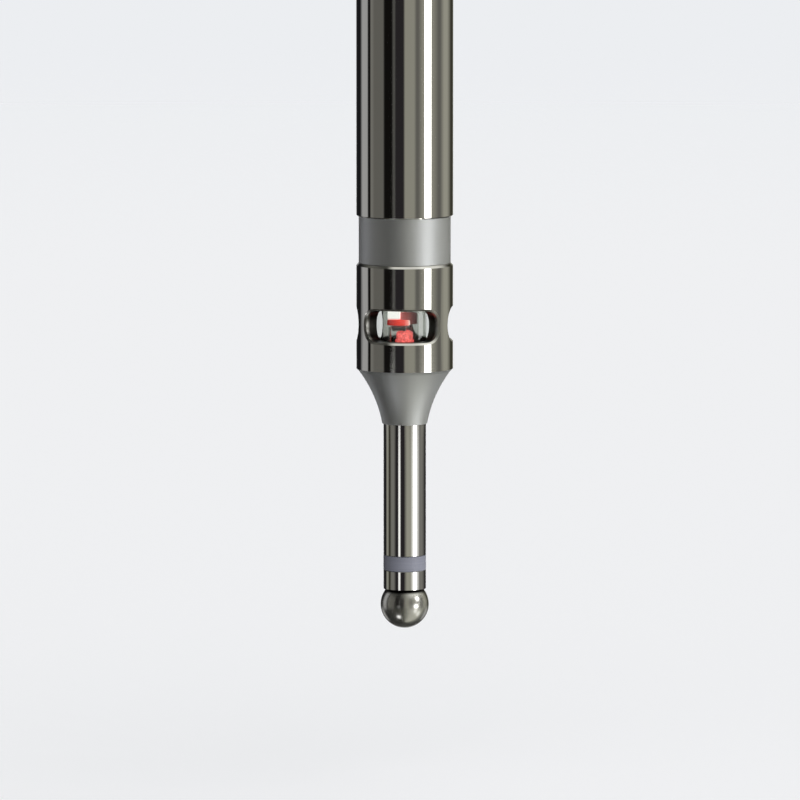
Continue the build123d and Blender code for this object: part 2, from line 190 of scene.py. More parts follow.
black_flag = "#0f0e0d"
dark_flag = "#161618"
blue_flag = "#242224"
olive_flag = "#33322a"
open_room = "#4a4a48"
grey_card = "#5b5a56"
mid_card = "#6e6d69"
warm_card = "#84837a"
sand_card = "#8f8e84"
cool_card = "#949495"
white_card = "#ffffff"
# each panel: where it starts and ends, in degrees to the right of the camera, and its card
panels = (
    (-180, -174, cool_card),
    (-160, -131, dark_flag),
    (-120, -101, cool_card),
    (-97, -91, black_flag),
    (-88, -85, mid_card),
    (-77, -53, grey_card),
    (-49, -31, black_flag),
    (-27, -24, open_room),
    (-21, -3, blue_flag),
    (1, 22, warm_card),
    (28, 33, grey_card),
    (43, 70, warm_card),
    (88, 94, grey_card),
    (108, 121, sand_card),
    (142, 160, olive_flag),
    (173, 180, sand_card),
)
# the cards that stand lower and show in the stem, which is seen from more above than the body
low_panels = (
    (-180, -174, cool_card),
    (-150, -124, dark_flag),
    (-111, -103, warm_card),
    (-95, -86, olive_flag),
    (-77, -62, mid_card),
    (-49, -36.5, blue_flag),
    (-32, -27, white_card),
    (-21, -3, blue_flag),
    (13, 33, sand_card),
    (50, 66, white_card),
    (88, 108, mid_card),
    (140, 165, blue_flag),
    (173, 180, sand_card),
)


def around_tool(stops):
    """Stops in degrees round the tool, as places on a ramp with linear colours."""
    return [((bearing_deg + 180) / 360, linear(colour)) for bearing_deg, colour in stops]


def panel_ramp(cards):
    """A ramp round the tool from a list of panels, each fading into the next across its gap."""
    edges = [(edge, card) for start, end, card in cards for edge in (start, end)]
    return add_node(world, "ShaderNodeValToRGB", stops=around_tool(edges), links={"Fac": turn.outputs[0]})


high_ramp = panel_ramp(panels)
low_ramp = panel_ramp(low_panels)
# heights of a direction are sines: the body mirrors what lies above these, and the stem what is below
low_start = add_node(
    world,
    "ShaderNodeMapRange",
    inputs={"From Min": -0.1150, "From Max": -0.1166},
    links={"Value": split.outputs["Z"]},
)
low_end = add_node(
    world,
    "ShaderNodeMapRange",
    inputs={"From Min": -0.150, "From Max": -0.141},
    links={"Value": split.outputs["Z"]},
)
low_share = add_node(
    world,
    "ShaderNodeMath",
    operation="MULTIPLY",
    links={0: low_start.outputs[0], 1: low_end.outputs[0]},
)
bands = add_node(
    world,
    "ShaderNodeMix",
    data_type="RGBA",
    links={0: low_share.outputs[0], 6: high_ramp.outputs["Color"], 7: low_ramp.outputs["Color"]},
)
print(len(panels), "panels at the body's height,", len(low_panels), "at the stem's")

# %% [markdown]
# Above and below the horizon the studio is softer: a pale ceiling that is brighter on the key
# light's side, and a floor that sends some of the key back up. The nose and the lower half of the
# ball look down into that floor. Straight overhead hangs one more pale card, which brightens the
# chamfers that look up. A Mix node's colour sockets are numbers 6 and 7, and its colour result is
# number 2.

# %% Ceiling and floor of the studio
floor_stops = (
    (-180, "#40403e"),
    (-130, "#282827"),
    (-90, "#2e2e2c"),
    (-60, "#3a3a37"),
    (-10, "#40403b"),
    (30, "#9c9c93"),
    (75, "#a8a89e"),
    (95, "#98988e"),
    (112, "#585854"),
    (150, "#333331"),
    (180, "#40403e"),
)
ceiling_stops = (
    (-180, "#50504c"),
    (-125, "#565652"),
    (-100, "#3a3a37"),
    (-60, "#30302e"),
    (-30, "#161615"),
    (5, "#74746e"),
    (40, "#c2c2bc"),
    (70, "#d6d6d0"),
    (100, "#e8e8e2"),
    (132, "#c6c6c0"),
    (180, "#585854"),
)
floor_ramp = add_node(
    world,
    "ShaderNodeValToRGB",
    stops=around_tool(floor_stops),
    links={"Fac": turn.outputs[0]},
)
ceiling_ramp = add_node(
    world,
    "ShaderNodeValToRGB",
    stops=around_tool(ceiling_stops),
    links={"Fac": turn.outputs[0]},
)
below = add_node(
    world,
    "ShaderNodeMapRange",
    interpolation_type="SMOOTHSTEP",
    inputs={"From Min": -0.145, "From Max": -0.42},
    links={"Value": split.outputs["Z"]},
)
above = add_node(
    world,
    "ShaderNodeMapRange",
    interpolation_type="SMOOTHSTEP",
    inputs={"From Min": 0.35, "From Max": 0.75},
    links={"Value": split.outputs["Z"]},
)
with_floor = add_node(
    world,
    "ShaderNodeMix",
    data_type="RGBA",
    links={0: below.outputs[0], 6: bands.outputs[2], 7: floor_ramp.outputs["Color"]},
)
with_ceiling = add_node(
    world,
    "ShaderNodeMix",
    data_type="RGBA",
    links={0: above.outputs[0], 6: with_floor.outputs[2], 7: ceiling_ramp.outputs["Color"]},
)
overhead = add_node(
    world,
    "ShaderNodeMapRange",
    interpolation_type="SMOOTHSTEP",
    inputs={"From Min": 0.92, "From Max": 0.98},
    links={"Value": split.outputs["Z"]},
)
with_overhead = add_node(
    world,
    "ShaderNodeMix",
    data_type="RGBA",
    inputs={7: linear("#c8c8c2")},
    links={0: overhead.outputs[0], 6: with_ceiling.outputs[2]},
)
steel_reflectance = 0.62
mirrored = add_node(
    world,
    "ShaderNodeVectorMath",
    operation="SCALE",
    inputs={"Scale": 1 / steel_reflectance},
    links={0: with_overhead.outputs[2]},
)
print("the world is", round(1 / steel_reflectance, 2), "times as bright as its bands look on steel")

# %% [markdown]
# The lamps of the studio are far brighter than its walls. The key light is a tall strip box to the
# right, and a few small lamps make the sparkles on the ball. Three dim ones behind the tool keep its
# back from going black. Each lamp is a patch of the world, so that it looks the same from every
# piece and costs no noise.

# %% Strip boxes and small lamps
# each strip box: degrees to the right of the camera, half its width in degrees, its lowest and
# highest degrees above the horizon, and its strength
strip_boxes = (
    (57.0, 8.7, -11.5, 0.0, 5.0),
    (57.0, 8.7, -36.0, -11.5, 0.8),
)
edge_softness = math.radians(1.5)
top_softness = 0.006
lamp_light = None
for middle, half_width, lowest, highest, strength in strip_boxes:
    off_side = add_node(
        world,
        "ShaderNodeMath",
        operation="SUBTRACT",
        inputs={1: math.radians(middle)},
        links={0: bearing.outputs[0]},
    )
    side_distance = add_node(world, "ShaderNodeMath", operation="ABSOLUTE", links={0: off_side.outputs[0]})
    across = add_node(
        world,
        "ShaderNodeMapRange",
        interpolation_type="SMOOTHSTEP",
        inputs={
            "From Min": math.radians(half_width) + edge_softness,
            "From Max": math.radians(half_width) - edge_softness,
            "To Max": strength,
        },
        links={"Value": side_distance.outputs[0]},
    )
    low = math.sin(math.radians(lowest))
    high = math.sin(math.radians(highest))
    off_middle = add_node(
        world,
        "ShaderNodeMath",
        operation="SUBTRACT",
        inputs={1: (low + high) / 2},
        links={0: split.outputs["Z"]},
    )
    height_distance = add_node(
        world,
        "ShaderNodeMath",
        operation="ABSOLUTE",
        links={0: off_middle.outputs[0]},
    )
    along = add_node(
        world,
        "ShaderNodeMapRange",
        interpolation_type="SMOOTHSTEP",
        inputs={
            "From Min": (high - low) / 2 + top_softness,
            "From Max": (high - low) / 2 - top_softness,
        },
        links={"Value": height_distance.outputs[0]},
    )
    strip = add_node(
        world,
        "ShaderNodeMath",
        operation="MULTIPLY",
        links={0: across.outputs[0], 1: along.outputs[0]},
    ).outputs[0]
    if lamp_light is None:
        lamp_light = strip
    else:
        lamp_light = add_node(
            world,
            "ShaderNodeMath",
            operation="MAXIMUM",
            links={0: lamp_light, 1: strip},
        ).outputs[0]

# each small lamp: degrees to the right of the camera, degrees above the horizon, its radius in
# degrees and its strength
small_lamps = (
    (70, 23, 11.0, 4.0),
    (80, -36, 12.0, 0.7),
    (-43, -56, 8.5, 2.7),
    (-142, -24, 16.0, 0.4),
    (178, -24, 16.0, 0.5),
    (138, -24, 16.0, 0.4),
)
for right_of_camera, height, radius, strength in small_lamps:
    around = math.radians(right_of_camera)
    up = math.radians(height)
    lamp_direction = (math.sin(around) * math.cos(up), -math.cos(around) * math.cos(up), math.sin(up))
    closeness = add_node(
        world,
        "ShaderNodeVectorMath",
        operation="DOT_PRODUCT",
        inputs={1: lamp_direction},
        links={0: from_camera.outputs["Vector"]},
    )
    patch = add_node(
        world,
        "ShaderNodeMapRange",
        interpolation_type="SMOOTHSTEP",
        inputs={
            "From Min": math.cos(math.radians(radius)),
            "From Max": math.cos(math.radians(radius * 0.5)),
            "To Max": strength,
        },
        links={"Value": closeness.outputs["Value"]},
    )
    lamp_light = add_node(
        world,
        "ShaderNodeMath",
        operation="ADD",
        links={0: lamp_light, 1: patch.outputs[0]},
    ).outputs[0]
lit = add_node(
    world,
    "ShaderNodeVectorMath",
    operation="ADD",
    links={0: mirrored.outputs[0], 1: lamp_light},
)
print(len(strip_boxes), "strip boxes and", len(small_lamps), "small lamps")

# %% [markdown]
# Plastic, rubber and the floor don't mirror anything: they take the average of all the light that
# falls on them. For them the world is one soft light, brightest on the key's side. The camera
# itself, and the clear windows, see a plain pale backdrop. The Light Path node tells these rays
# apart, and the world is left out of Cycles' lamp list, which knows only one kind of ray.

# %% Soft light and pale backdrop
soft_bearing = math.radians(60)
soft_height = math.radians(20)
soft_direction = (
    math.sin(soft_bearing) * math.cos(soft_height),
    -math.cos(soft_bearing) * math.cos(soft_height),
    math.sin(soft_height),
)
soft_closeness = add_node(
    world,
    "ShaderNodeVectorMath",
    operation="DOT_PRODUCT",
    inputs={1: soft_direction},
    links={0: from_camera.outputs["Vector"]},
)
soft_ramp = add_node(
    world,
    "ShaderNodeMapRange",
    inputs={"From Min": -0.35, "From Max": 1.0, "To Min": 0.06, "To Max": 1.8},
    links={"Value": soft_closeness.outputs["Value"]},
)
backdrop_colour = "#eceef1"
rays = add_node(world, "ShaderNodeLightPath")
for_plastic = add_node(
    world,
    "ShaderNodeMix",
    data_type="RGBA",
    links={0: rays.outputs["Is Diffuse Ray"], 6: lit.outputs[0], 7: soft_ramp.outputs[0]},
)
sees_backdrop = add_node(
    world,
    "ShaderNodeMath",
    operation="MAXIMUM",
    links={0: rays.outputs["Is Camera Ray"], 1: rays.outputs["Is Transmission Ray"]},
)
seen = add_node(
    world,
    "ShaderNodeMix",
    data_type="RGBA",
    inputs={7: linear(backdrop_colour)},
    links={0: sees_backdrop.outputs[0], 6: for_plastic.outputs[2]},
)
background = add_node(world, "ShaderNodeBackground", links={"Color": seen.outputs[2]})
add_node(world, "ShaderNodeOutputWorld", links={"Surface": background.outputs[0]})
studio.cycles.sampling_method = "NONE"
print("world nodes", len(world.nodes))

# %% [markdown]
# The floor is a plain pale sheet under the hanging tool, lit a little from below as on a light
# table, so that it is as bright as the backdrop. It catches the tool's soft shadow. It sends
# no light back to the tool, because the studio's own floor is already in the world. Far out it
# fades into the backdrop, so that no edge shows.

# %% Floor
floor_z = -129.0
floor_half = 2.5
floor_mesh = bpy.data.meshes.new("pale_floor")
floor_signs = ((-1, -1), (1, -1), (1, 1), (-1, 1))
floor_corners = [(x * floor_half, y * floor_half, floor_z * MM) for x, y in floor_signs]
floor_mesh.from_pydata(floor_corners, [], [(0, 1, 2, 3)])
pale_floor = bpy.data.objects.new("pale_floor", floor_mesh)
bpy.context.scene.collection.objects.link(pale_floor)
pale_floor.visible_glossy = False
pale_floor.visible_diffuse = False
floor_paint = bpy.data.materials.new("matt_white_sheet")
floor_paint.use_nodes = True
floor_tree = floor_paint.node_tree
floor_shader = floor_tree.nodes["Principled BSDF"]
floor_shader.inputs["Base Color"].default_value = linear("#f4f5f7")
floor_shader.inputs["Roughness"].default_value = 0.9
floor_shader.inputs["Specular IOR Level"].default_value = 0.0
floor_shader.inputs["Emission Color"].default_value = linear("#f4f5f7")
floor_shader.inputs["Emission Strength"].default_value = 0.11
floor_place = add_node(floor_tree, "ShaderNodeTexCoord")
from_tool = add_node(
    floor_tree,
    "ShaderNodeVectorMath",
    operation="LENGTH",
    links={0: floor_place.outputs["Object"]},
)
fade_start = 1.0
fade_end = 2.4
fade = add_node(
    floor_tree,
    "ShaderNodeMapRange",
    interpolation_type="SMOOTHSTEP",
    inputs={"From Min": fade_start, "From Max": fade_end},
    links={"Value": from_tool.outputs["Value"]},
)
# from below, the sheet is clear, so that the tool's underside can be looked at too
side = add_node(floor_tree, "ShaderNodeNewGeometry")
unseen = add_node(
    floor_tree,
    "ShaderNodeMath",
    operation="MAXIMUM",
    links={0: fade.outputs[0], 1: side.outputs["Backfacing"]},
)
clear = add_node(floor_tree, "ShaderNodeBsdfTransparent")
fading = add_node(
    floor_tree,
    "ShaderNodeMixShader",
    links={0: unseen.outputs[0], 1: floor_shader.outputs[0], 2: clear.outputs[0]},
)
floor_out = floor_tree.nodes["Material Output"]
floor_tree.links.new(fading.outputs[0], floor_out.inputs["Surface"])
floor_mesh.materials.append(floor_paint)
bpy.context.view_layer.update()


# %% [markdown]
# Every finish starts as a Principled shader with the values of the real material. Patterns are
# placed by Object coordinates, which are metres here, so a pattern's scale is one over its size.


# %% Material helpers
def start_material(name, **values):
    """A new material: its tree, and its Principled shader with the values given."""
    material = bpy.data.materials.new(name)
    material.use_nodes = True
    shader = material.node_tree.nodes["Principled BSDF"]
    for socket, value in values.items():
        shader.inputs[socket.replace("_", " ")].default_value = value
    return material, material.node_tree, shader


def dress(material, *nodes):
    """Gives CAD nodes a material through their objects' own slots."""
    for name in nodes:
        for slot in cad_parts[name].material_slots:
            slot.link = "OBJECT"
            slot.material = material


# %% [markdown]
# The shank, the body, the stem and the seat sleeve are hardened steel, ground round and polished.
# Steel is a metal, so its colour is the tint of its mirror image, a slightly warm grey. Grinding
# leaves rings round the axis that are too fine to see, and they soften the mirror a little. One
# function makes the steel, because the same bar is left satin where only the lathe has cut it, and
# dull where a milling cutter has opened the windows. The windows' broken edges are polished again.


# %% Steel: ground, turned and milled
polished_steel_tint = "#cdccc8"
window_edge_depth = 0.38


def steel(name, turned_below=None, milled_within=None, mirror=(0.03, 0.06)):
    """Polished steel, satin below one level and milled within one radius, both in millimetres, with
    painted shade deeper in the windows.
    """
    material, tree, shader = start_material(
        name,
        Base_Color=linear(polished_steel_tint),
        Metallic=1.0,
    )
    place = add_node(tree, "ShaderNodeTexCoord")
    ring_pitch = 0.05 * MM
    smudge_size = 6 * MM
    rings = add_node(
        tree,
        "ShaderNodeMapping",
        inputs={"Scale": (1 / smudge_size, 1 / smudge_size, 1 / ring_pitch)},
        links={"Vector": place.outputs["Object"]},
    )
    ring_noise = add_node(
        tree,
        "ShaderNodeTexNoise",
        inputs={"Scale": 1.0, "Detail": 3.0, "Roughness": 0.6},
        links={"Vector": rings.outputs["Vector"]},
    )
    roughness = add_node(
        tree,
        "ShaderNodeMapRange",
        inputs={"From Min": 0.3, "From Max": 0.7, "To Min": mirror[0], "To Max": mirror[1]},
        links={"Value": ring_noise.outputs["Fac"]},
    ).outputs[0]
    level = add_node(tree, "ShaderNodeSeparateXYZ", links={"Vector": place.outputs["Object"]})
    tint = None
    if turned_below is not None:
        # the lathe's feed marks are drawn 0.25 mm apart, coarser than the real 0.1 mm
        feed_pitch = 0.25 * MM
        mark_length = 11.11 * MM
        feed_marks = add_node(
            tree,
            "ShaderNodeMapping",
            inputs={"Scale": (1 / mark_length, 1 / mark_length, 1 / feed_pitch)},
            links={"Vector": place.outputs["Object"]},
        )
        feed_noise = add_node(
            tree,
            "ShaderNodeTexNoise",
            inputs={"Scale": 1.0, "Detail": 2.0},
            links={"Vector": feed_marks.outputs["Vector"]},
        )
        turned = add_node(
            tree,
            "ShaderNodeMath",
            operation="LESS_THAN",
            inputs={1: turned_below * MM},
            links={0: level.outputs["Z"]},
        )
        satin = add_node(
            tree,
            "ShaderNodeMapRange",
            inputs={"From Min": 0.3, "From Max": 0.7, "To Min": 0.49, "To Max": 0.54},
            links={"Value": feed_noise.outputs["Fac"]},
        )
        roughness = add_node(
            tree,
            "ShaderNodeMix",
            links={0: turned.outputs[0], 2: roughness, 3: satin.outputs[0]},
        ).outputs[0]
        # steel fresh from the lathe is paler and cooler than steel that has been polished
        tint = add_node(
            tree,
            "ShaderNodeMix",
            data_type="RGBA",
            inputs={6: linear(polished_steel_tint), 7: linear("#d9dbde")},
            links={0: turned.outputs[0]},
        ).outputs[2]
        feed_height = add_node(
            tree,
            "ShaderNodeMath",
            operation="MULTIPLY",
            links={0: turned.outputs[0], 1: feed_noise.outputs["Fac"]},
        )
        feed_bump = add_node(
            tree,
            "ShaderNodeBump",
            inputs={"Strength": 0.5, "Distance": 0.004 * MM},
            links={"Height": feed_height.outputs[0]},
        )
        tree.links.new(feed_bump.outputs[0], shader.inputs["Normal"])
    if milled_within is not None:
        flat_place = add_node(
            tree,
            "ShaderNodeVectorMath",
            operation="MULTIPLY",
            inputs={1: (1, 1, 0)},
            links={0: place.outputs["Object"]},
        )
        from_axis = add_node(
            tree,
            "ShaderNodeVectorMath",
            operation="LENGTH",
            links={0: flat_place.outputs[0]},
        )
        within = add_node(
            tree,
            "ShaderNodeMath",
            operation="LESS_THAN",
            inputs={1: milled_within * MM},
            links={0: from_axis.outputs["Value"]},
        )
        deep_within = add_node(
            tree,
            "ShaderNodeMath",
            operation="LESS_THAN",
            inputs={1: (milled_within - window_edge_depth) * MM},
            links={0: from_axis.outputs["Value"]},
        )
        # the cutter opens nothing below this level, where the bar is round again
        above_nose = add_node(
            tree,
            "ShaderNodeMath",
            operation="GREATER_THAN",
            inputs={1: milled_foot_z * MM},
            links={0: level.outputs["Z"]},
        )
        way = add_node(tree, "ShaderNodeSeparateXYZ", links={"Vector": place.outputs["Normal"]})
        # the broken edge along a window's foot looks up, which tells it from the milled walls
        not_edge = add_node(
            tree,
            "ShaderNodeMath",
            operation="LESS_THAN",
            inputs={1: 0.45},
            links={0: way.outputs["Z"]},
        )
        wall = add_node(
            tree,
            "ShaderNodeMath",
            operation="MULTIPLY",
            links={0: within.outputs[0], 1: not_edge.outputs[0]},
        )
        any_wall = add_node(
            tree,
            "ShaderNodeMath",
            operation="MAXIMUM",
            links={0: wall.outputs[0], 1: deep_within.outputs[0]},
        )
        milled = add_node(
            tree,
            "ShaderNodeMath",
            operation="MULTIPLY",
            links={0: any_wall.outputs[0], 1: above_nose.outputs[0]},
        )
        roughness = add_node(
            tree,
            "ShaderNodeMix",
            inputs={3: 0.34},
            links={0: milled.outputs[0], 2: roughness},
        ).outputs[0]
        # painted shade: from half a millimetre to 1.3 mm into each window the walls' colour darkens to
        # near black, for the shade in the recess
        depth = add_node(
            tree,
            "ShaderNodeMapRange",
            interpolation_type="SMOOTHSTEP",
            inputs={"From Min": (milled_within - 0.5) * MM, "From Max": (milled_within - 1.3) * MM},
            links={"Value": from_axis.outputs["Value"]},
        )
        wall_tint_with_painted_shade = add_node(
            tree,
            "ShaderNodeMix",
            data_type="RGBA",
            inputs={6: linear("#b4b3af"), 7: linear("#2e2d2a")},
            links={0: depth.outputs[0]},
        )
        tint = add_node(
            tree,
            "ShaderNodeMix",
            data_type="RGBA",
            links={0: milled.outputs[0], 6: tint, 7: wall_tint_with_painted_shade.outputs[2]},
        ).outputs[2]
    if tint is not None:
        tree.links.new(tint, shader.inputs["Base Color"])
    tree.links.new(roughness, shader.inputs["Roughness"])
    return material


ground_steel = steel("ground_polished_steel")
body_steel = steel(
    "ground_body_with_turned_nose",
    turned_below=body_foot_z,
    milled_within=9.96,
)
lapped_steel = steel("lapped_ball_steel", mirror=(0.20, 0.26))
seat_steel = steel("ground_seat_with_painted_shade_line")
# painted shade: a dark line where the ball meets its seat, on the sleeve and on the ball, stands for the
# shade in that gap
for shaded_steel, dark_from_z, unshaded_from_z in (
    (seat_steel, seat_z + 0.16, seat_z + 0.24),
    (lapped_steel, seat_z - 0.3, seat_z - 0.75),
):
    tree = shaded_steel.node_tree
    place = add_node(tree, "ShaderNodeTexCoord")
    level = add_node(tree, "ShaderNodeSeparateXYZ", links={"Vector": place.outputs["Object"]})
    painted_shade_share = add_node(
        tree,
        "ShaderNodeMapRange",
        inputs={"From Min": unshaded_from_z * MM, "From Max": dark_from_z * MM},
        links={"Value": level.outputs["Z"]},
    )
    # painted shade: the tint turns near black where the seat's gap lies in shade
    painted_shade_tint = add_node(
        tree,
        "ShaderNodeMix",
        data_type="RGBA",
        inputs={6: linear(polished_steel_tint), 7: linear("#1c1b19")},
        links={0: painted_shade_share.outputs[0]},
    )
    tree.links.new(painted_shade_tint.outputs[2], tree.nodes["Principled BSDF"].inputs["Base Color"])
dress(ground_steel, "stem")
dress(seat_steel, "seat_sleeve")
dress(body_steel, "housing")
dress(lapped_steel, "ball")
print("steels:", ground_steel.name, body_steel.name, lapped_steel.name)

# %% [markdown]
# The shank is turned from one bar: a centre hole, the ground shank, the satin neck and the threaded
# spigot that holds the body. The CAD draws the thread as a plain cylinder, so here the whole piece
# is lathed again from its profile, and the spigot gets a real helix of 1 mm pitch. It shows when
# the body is unscrewed for a new battery.

# %% Shank profile and thread
round_steps = 192
thread_pitch = 1.0
thread_crest_r = 7.93
thread_depth = 0.55
thread_top_z = -24.25
thread_foot_z = -29.9
rows_per_turn = 16
battery_bore_r = 5.45
battery_bore_top_z = 4.58
shoulder_chamfer = 0.25
centre_hole = ((0.0, 54.42), (1.0, 55.0), (1.0, 58.4), (2.5, shank_top_z))
polished_run = (
    (9.0, shank_top_z),
    (shank_r, 60.0),
    (shank_r, shoulder_z + shoulder_chamfer),
    (shank_r - shoulder_chamfer, shoulder_z),
)
neck_run = ((neck_r, shoulder_z), (neck_r, joint_z), (7.25, joint_z), (7.25, -24.2))
bore_run = (
    (7.35, spigot_end_z),
    (battery_bore_r, spigot_end_z),
    (battery_bore_r, battery_bore_top_z),
    (0.0, battery_bore_top_z),
)
thread_rows = round((thread_top_z - thread_foot_z) / thread_pitch * rows_per_turn)
print(thread_rows, "rows of thread")


# %% Lathe the shank
def thread_radius(angle, z):
    """The spigot's radius where the thread's flank passes, with the thread fading at both ends."""
    phase = (z / thread_pitch - angle / (2 * math.pi)) % 1
    groove = min(1.0, max(0.0, (1 - abs(2 * phase - 1)) * 1.3 - 0.15))
    fade = min(1.0, (thread_top_z - z) / 0.4, (z - thread_foot_z) / 0.4)
    return thread_crest_r - thread_depth * groove * max(0.0, fade)


shank_mesh = bpy.data.meshes.new("shank_with_thread")
lathe = bmesh.new()
angles = [2 * math.pi * step / round_steps for step in range(round_steps)]


def ring(radius_at, z):
    """One ring of the lathe, or one point where it meets the axis."""
    if radius_at(0) < 1e-6:
        return [lathe.verts.new((0, 0, z * MM))]
    return [
        lathe.verts.new((radius_at(a) * math.cos(a) * MM, radius_at(a) * math.sin(a) * MM, z * MM))
        for a in angles
    ]


lathed_rings = [ring(lambda a, r=r: r, z) for r, z in (*centre_hole, *polished_run, *neck_run)]
for row in range(thread_rows + 1):
    z = thread_top_z + (thread_foot_z - thread_top_z) * row / thread_rows
    lathed_rings.append(ring(lambda a, z=z: thread_radius(a, z), z))
lathed_rings.extend(ring(lambda a, r=r: r, z) for r, z in bore_run)
neck_start = len(centre_hole) + len(polished_run) - 1
for index, (upper, lower) in enumerate(zip(lathed_rings, lathed_rings[1:])):
    for step in range(round_steps):
        following = (step + 1) % round_steps
        if len(upper) == 1:
            corners = (upper[0], lower[step], lower[following])
        elif len(lower) == 1:
            corners = (upper[step], lower[0], upper[following])
        else:
            corners = (upper[step], lower[step], lower[following], upper[following])
        face = lathe.faces.new(corners)
        face.smooth = True
        face.material_index = 1 if index >= neck_start else 0
bmesh.ops.recalc_face_normals(lathe, faces=lathe.faces)
lathe.to_mesh(shank_mesh)
lathe.free()
shank_mesh.set_sharp_from_angle(angle=math.radians(24))
shank_piece = bpy.data.objects.new("shank_turned", shank_mesh)
bpy.context.scene.collection.objects.link(shank_piece)
neck_steel = steel("satin_turned_neck", turned_below=shoulder_z + 0.01)
shank_mesh.materials.append(ground_steel)
shank_mesh.materials.append(neck_steel)
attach(shank_piece, "shank")
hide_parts("shank")
print("shank faces", len(shank_mesh.polygons))

# %% [markdown]
# The window is a tube of clear acrylic, turned and then polished outside. Acrylic bends light less
# than glass, with an IOR of 1.49, and has no colour of its own. Its bore is only drilled, so it is
# cloudy: it blurs and dims a little what lies behind.

# %% Clear acrylic
acrylic, tree, shader = start_material(
    "turned_clear_acrylic",
    Roughness=0.02,
    IOR=1.49,
    Transmission_Weight=1.0,
)
place = add_node(tree, "ShaderNodeTexCoord")
flat_place = add_node(
    tree,
    "ShaderNodeVectorMath",
    operation="MULTIPLY",
    inputs={1: (1, 1, 0)},
    links={0: place.outputs["Object"]},
)
from_axis = add_node(tree, "ShaderNodeVectorMath", operation="LENGTH", links={0: flat_place.outputs[0]})
bore_r = 4.5
bored = add_node(
    tree,
    "ShaderNodeMapRange",
    inputs={"From Min": (bore_r + 0.4) * MM, "From Max": (bore_r + 0.2) * MM},
    links={"Value": from_axis.outputs["Value"]},
)
blur = add_node(tree, "ShaderNodeMix", inputs={2: 0.015, 3: 0.07}, links={0: bored.outputs[0]})
cloud = add_node(
    tree,
    "ShaderNodeMix",
    data_type="RGBA",
    inputs={6: linear("#e0e3df"), 7: linear("#b6b9b2")},
    links={0: bored.outputs[0]},
)
tree.links.new(blur.outputs[0], shader.inputs["Roughness"])
tree.links.new(cloud.outputs[2], shader.inputs["Base Color"])
dress(acrylic, "window_tube")
print("acrylic over a bore of", 2 * bore_r, "mm")

# %% [markdown]
# The collar above the seat sleeve is a grey engineering plastic, such as acetal. It keeps the ball
# apart from the body, so that the lamp's circuit closes only through the work. It is turned, which
# leaves a satin surface with fine rings. The ring in the screw joint is moulded nitrile rubber.

# %% Collar and seal
acetal, tree, shader = start_material("turned_grey_acetal", Roughness=0.45, IOR=1.48)
place = add_node(tree, "ShaderNodeTexCoord")
ring_spacing = 0.2 * MM
ring_arc = 8.33 * MM
turned_rings = add_node(
    tree,
    "ShaderNodeMapping",
    inputs={"Scale": (1 / ring_arc, 1 / ring_arc, 1 / ring_spacing)},
    links={"Vector": place.outputs["Object"]},
)
acetal_noise = add_node(
    tree,
    "ShaderNodeTexNoise",
    inputs={"Scale": 1.0, "Detail": 2.0},
    links={"Vector": turned_rings.outputs["Vector"]},
)
acetal_tone = add_node(
    tree,
    "ShaderNodeValToRGB",
    stops=((0.3, linear("#7b7d89")), (0.7, linear("#828490"))),
    links={"Fac": acetal_noise.outputs["Fac"]},
)
acetal_bump = add_node(
    tree,
    "ShaderNodeBump",
    inputs={"Strength": 0.4, "Distance": 0.01 * MM},
    links={"Height": acetal_noise.outputs["Fac"]},
)
tree.links.new(acetal_tone.outputs["Color"], shader.inputs["Base Color"])
tree.links.new(acetal_bump.outputs[0], shader.inputs["Normal"])
dress(acetal, "insulating_sleeve")

nitrile, tree, shader = start_material("moulded_nitrile_rubber", Roughness=0.62, IOR=1.52)
place = add_node(tree, "ShaderNodeTexCoord")
grain = add_node(
    tree,
    "ShaderNodeTexNoise",
    inputs={"Scale": 1 / (0.15 * MM), "Detail": 3.0},
    links={"Vector": place.outputs["Object"]},
)
rubber_tone = add_node(
    tree,
    "ShaderNodeValToRGB",
    stops=((0.3, linear("#1c1c1d")), (0.7, linear("#29292a"))),
    links={"Fac": grain.outputs["Fac"]},
)
tree.links.new(rubber_tone.outputs["Color"], shader.inputs["Base Color"])
dress(nitrile, "joint_seal")

# %% [markdown]
# The lamp is a red light emitting diode with a lens of cast epoxy. It glows from inside, so it is
# lit by Emission more than by the room, and its rim is deeper red than its middle, which a Layer
# Weight gives. The epoxy is full of fine specks that spread the light. They are drawn 0.45 mm
# wide, coarser than the real ones, so that a picture can show them.

# %% Red lamp
lamp_epoxy, tree, shader = start_material(
    "cast_red_epoxy",
    Base_Color=linear("#8e1010"),
    Roughness=0.2,
    IOR=1.54,
    Emission_Strength=2.0,
)
edge = add_node(tree, "ShaderNodeLayerWeight", inputs={"Blend": 0.4})
glow = add_node(
    tree,
    "ShaderNodeValToRGB",
    stops=((0.1, linear("#f8706c")), (0.9, linear("#b43438"))),
    links={"Fac": edge.outputs["Facing"]},
)
place = add_node(tree, "ShaderNodeTexCoord")
speck_size = 0.45 * MM
specks = add_node(
    tree,
    "ShaderNodeTexNoise",
    inputs={"Scale": 1 / speck_size, "Detail": 2.0},
    links={"Vector": place.outputs["Object"]},
)
speck_tone = add_node(
    tree,
    "ShaderNodeValToRGB",
    stops=((0.35, linear("#c0c0c0")), (0.5, linear("#d8d8d8")), (0.65, linear("#ffffff", 1.2))),
    links={"Fac": specks.outputs["Fac"]},
)
speckled_glow = add_node(
    tree,
    "ShaderNodeVectorMath",
    operation="MULTIPLY",
    links={0: glow.outputs["Color"], 1: speck_tone.outputs["Color"]},
)
tree.links.new(speckled_glow.outputs[0], shader.inputs["Emission Color"])
dress(lamp_epoxy, "led")
